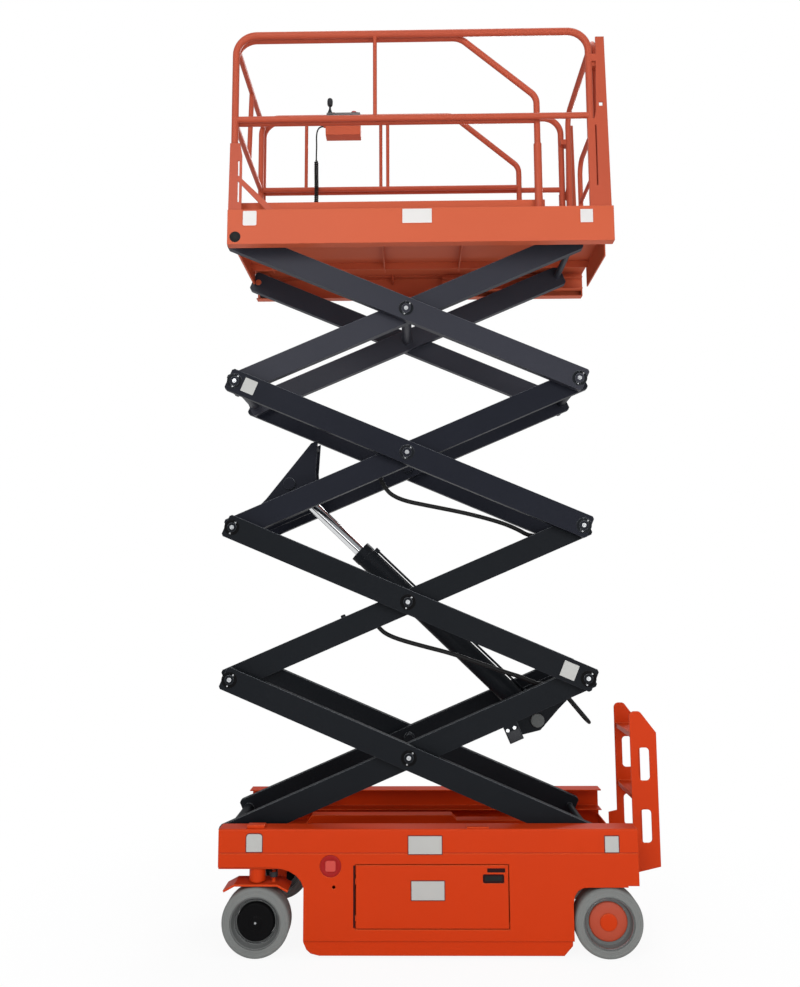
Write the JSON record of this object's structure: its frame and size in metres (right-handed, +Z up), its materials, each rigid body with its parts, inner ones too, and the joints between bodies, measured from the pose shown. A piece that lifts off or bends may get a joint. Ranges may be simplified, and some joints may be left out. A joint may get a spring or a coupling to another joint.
{
  "type": "scissor lift",
  "caption": "Self-propelled scissor lift: crossed-arm stack raised by one cylinder, railed platform with roll-out deck, steered front wheels and entry ladder.",
  "frame": {"origin": "on the ground under the middle of the whole machine", "axes": "+Z up, +X towards the entry ladder, -Y towards the side seen first"},
  "size_m": [2.5216, 1.005, 5.438],
  "materials": {
    "chassis_paint": "gloss",
    "platform_paint": "satin",
    "arm_paint": "satin",
    "red_plate": "gloss",
    "dark_block": "matt",
    "tyre": "matt",
    "dark_wheel": "satin",
    "wheel_paint": "satin",
    "bright_steel": "satin",
    "hose": "matt",
    "chrome_rod": "polished",
    "control_shell": "matt"
  },
  "bodies": {
    "chassis": {"side_channels": "chassis_paint", "belly": "chassis_paint", "centre_beams": "chassis_paint", "pivot_ears": "chassis_paint", "side_panel_near": "chassis_paint", "side_panel_far": "chassis_paint", "stop_disc": "red_plate", "hydraulic_unit": "dark_block", "battery_pack": "dark_block", "rear_axle": "arm_paint", "ladder": "chassis_paint"},
    "door_near": {"door_near": "chassis_paint"},
    "door_far": {"door_far": "chassis_paint"},
    "guard_near": {"pothole_guard_near": "chassis_paint"},
    "guard_far": {"pothole_guard_far": "chassis_paint"},
    "knuckle_near": {"knuckle_near": "chassis_paint"},
    "knuckle_far": {"knuckle_far": "chassis_paint"},
    "tie_rod": {"tie_rod": "bright_steel"},
    "wheel_front_near": {"tyre_front_near": "tyre", "wheel_front_near": "dark_wheel"},
    "wheel_front_far": {"tyre_front_far": "tyre", "wheel_front_far": "dark_wheel"},
    "wheel_rear_near": {"tyre_rear_near": "tyre", "wheel_rear_near": "wheel_paint"},
    "wheel_rear_far": {"tyre_rear_far": "tyre", "wheel_rear_far": "wheel_paint"},
    "inner_arms_1": {"inner_arms_1": "arm_paint", "hose_loop": "hose"},
    "inner_arms_2": {"inner_arms_2": "arm_paint"},
    "inner_arms_3": {"inner_arms_3": "arm_paint"},
    "inner_arms_4": {"inner_arms_4": "arm_paint"},
    "outer_arms_1": {"outer_arms_1": "arm_paint"},
    "outer_arms_2": {"outer_arms_2": "arm_paint", "hose_2": "hose", "hose_strap_2": "hose"},
    "outer_arms_3": {"outer_arms_3": "arm_paint", "hose_3": "hose", "hose_strap_3": "hose"},
    "outer_arms_4": {"outer_arms_4": "arm_paint"},
    "barrel": {"cylinder_barrel": "arm_paint"},
    "rod": {"cylinder_rod": "chrome_rod"},
    "platform": {"platform_sides": "platform_paint", "platform_underframe": "platform_paint", "platform_floor": "platform_paint", "main_rails": "platform_paint", "entry_frame": "platform_paint"},
    "gate": {"entry_gate": "platform_paint"},
    "extension": {"extension_deck": "platform_paint", "extension_rails": "platform_paint", "extension_end_rails": "platform_paint", "control_box": "platform_paint", "control_panel": "control_shell", "controller_cord": "hose", "controller_coil": "hose"}
  },
  "joints": [
    {"name": "lift", "type": "hinge", "parent": "chassis", "child": "inner_arms_1", "pos_m": [-1.20222, 0, 0.592], "axis": [0, -1, 0], "range_deg": [-19.1, 30]},
    {"name": "cross_1", "type": "hinge", "parent": "inner_arms_1", "child": "outer_arms_1", "pos_m": [-0.18121, 0, 1.02749], "axis": [0, -1, 0], "range_deg": [-60, 38.2]},
    {"name": "stage_2", "type": "hinge", "parent": "outer_arms_1", "child": "inner_arms_2", "pos_m": [-1.20222, 0, 1.46299], "axis": [0, -1, 0], "range_deg": [-38.2, 60]},
    {"name": "cross_2", "type": "hinge", "parent": "inner_arms_2", "child": "outer_arms_2", "pos_m": [-0.18121, 0, 1.89848], "axis": [0, -1, 0], "range_deg": [-60, 38.2]},
    {"name": "stage_3", "type": "hinge", "parent": "outer_arms_2", "child": "inner_arms_3", "pos_m": [-1.20222, 0, 2.33398], "axis": [0, -1, 0], "range_deg": [-38.2, 60]},
    {"name": "cross_3", "type": "hinge", "parent": "inner_arms_3", "child": "outer_arms_3", "pos_m": [-0.18121, 0, 2.76947], "axis": [0, -1, 0], "range_deg": [-60, 38.2]},
    {"name": "stage_4", "type": "hinge", "parent": "outer_arms_3", "child": "inner_arms_4", "pos_m": [-1.20222, 0, 3.20497], "axis": [0, -1, 0], "range_deg": [-38.2, 60]},
    {"name": "cross_4", "type": "hinge", "parent": "inner_arms_4", "child": "outer_arms_4", "pos_m": [-0.18121, 0, 3.64046], "axis": [0, -1, 0], "range_deg": [-60, 38.2]},
    {"name": "platform_pivot", "type": "hinge", "parent": "outer_arms_4", "child": "platform", "pos_m": [-1.20222, 0, 4.07595], "axis": [0, -1, 0], "range_deg": [-19.1, 30]},
    {"name": "cylinder_pivot", "type": "hinge", "parent": "inner_arms_1", "child": "barrel", "pos_m": [0.58576, 0, 1.18939], "axis": [0, -1, 0], "range_deg": [-63, 40.11]},
    {"name": "rod_slide", "type": "slide", "parent": "barrel", "child": "rod", "axis": [-0.7222, 0, 0.6917], "range_m": [-0.4639, 0.7283]},
    {"name": "steer_near", "type": "hinge", "parent": "chassis", "child": "knuckle_near", "pos_m": [-1.01522, -0.435, 0.43], "axis": [0, 0, 1], "range_deg": [-45, 45]},
    {"name": "steer_far", "type": "hinge", "parent": "chassis", "child": "knuckle_far", "pos_m": [-1.01522, 0.435, 0.43], "axis": [0, 0, 1], "range_deg": [-45, 45]},
    {"name": "tie_rod_ball", "type": "hinge", "parent": "knuckle_near", "child": "tie_rod", "pos_m": [-0.92522, -0.435, 0.425], "axis": [0, 0, 1], "range_deg": [-45, 45]},
    {"name": "roll_front_near", "type": "hinge", "parent": "knuckle_near", "child": "wheel_front_near", "pos_m": [-1.01522, -0.435, 0.185], "axis": [0, 1, 0], "continuous": true},
    {"name": "roll_front_far", "type": "hinge", "parent": "knuckle_far", "child": "wheel_front_far", "pos_m": [-1.01522, 0.435, 0.185], "axis": [0, 1, 0], "continuous": true},
    {"name": "roll_rear_near", "type": "hinge", "parent": "chassis", "child": "wheel_rear_near", "pos_m": [0.88978, -0.435, 0.185], "axis": [0, 1, 0], "continuous": true},
    {"name": "roll_rear_far", "type": "hinge", "parent": "chassis", "child": "wheel_rear_far", "pos_m": [0.88978, 0.435, 0.185], "axis": [0, 1, 0], "continuous": true},
    {"name": "door_near_hinge", "type": "hinge", "parent": "chassis", "child": "door_near", "pos_m": [-0.47242, -0.5, 0.326], "axis": [0, 0, -1], "range_deg": [0, 100]},
    {"name": "door_far_hinge", "type": "hinge", "parent": "chassis", "child": "door_far", "pos_m": [-0.47242, 0.5, 0.326], "axis": [0, 0, 1], "range_deg": [0, 100]},
    {"name": "guard_near_slide", "type": "slide", "parent": "chassis", "child": "guard_near", "axis": [0, 0, 1], "range_m": [0, 0.08]},
    {"name": "guard_far_slide", "type": "slide", "parent": "chassis", "child": "guard_far", "axis": [0, 0, 1], "range_m": [0, 0.08]},
    {"name": "extension_slide", "type": "slide", "parent": "platform", "child": "extension", "axis": [-1, 0, 0], "range_m": [0, 0.9]},
    {"name": "gate_hinge", "type": "hinge", "parent": "platform", "child": "gate", "pos_m": [0.97378, -0.378, 4.49945], "axis": [0, 0, 1], "range_deg": [0, 90]}
  ],
  "couplings": [
    {"joint": "cross_1", "follows": "lift", "ratio": -2},
    {"joint": "stage_2", "follows": "lift", "ratio": 2},
    {"joint": "cross_2", "follows": "lift", "ratio": -2},
    {"joint": "stage_3", "follows": "lift", "ratio": 2},
    {"joint": "cross_3", "follows": "lift", "ratio": -2},
    {"joint": "stage_4", "follows": "lift", "ratio": 2},
    {"joint": "cross_4", "follows": "lift", "ratio": -2},
    {"joint": "platform_pivot", "follows": "lift", "ratio": 1},
    {"joint": "cylinder_pivot", "follows": "lift", "ratio": -2.1},
    {"joint": "rod_slide", "follows": "lift", "m_per_rad": 1.39},
    {"joint": "steer_far", "follows": "steer_near", "ratio": 1},
    {"joint": "tie_rod_ball", "follows": "steer_near", "ratio": -1},
    {"joint": "guard_far_slide", "follows": "guard_near_slide", "ratio": 1}
  ]
}
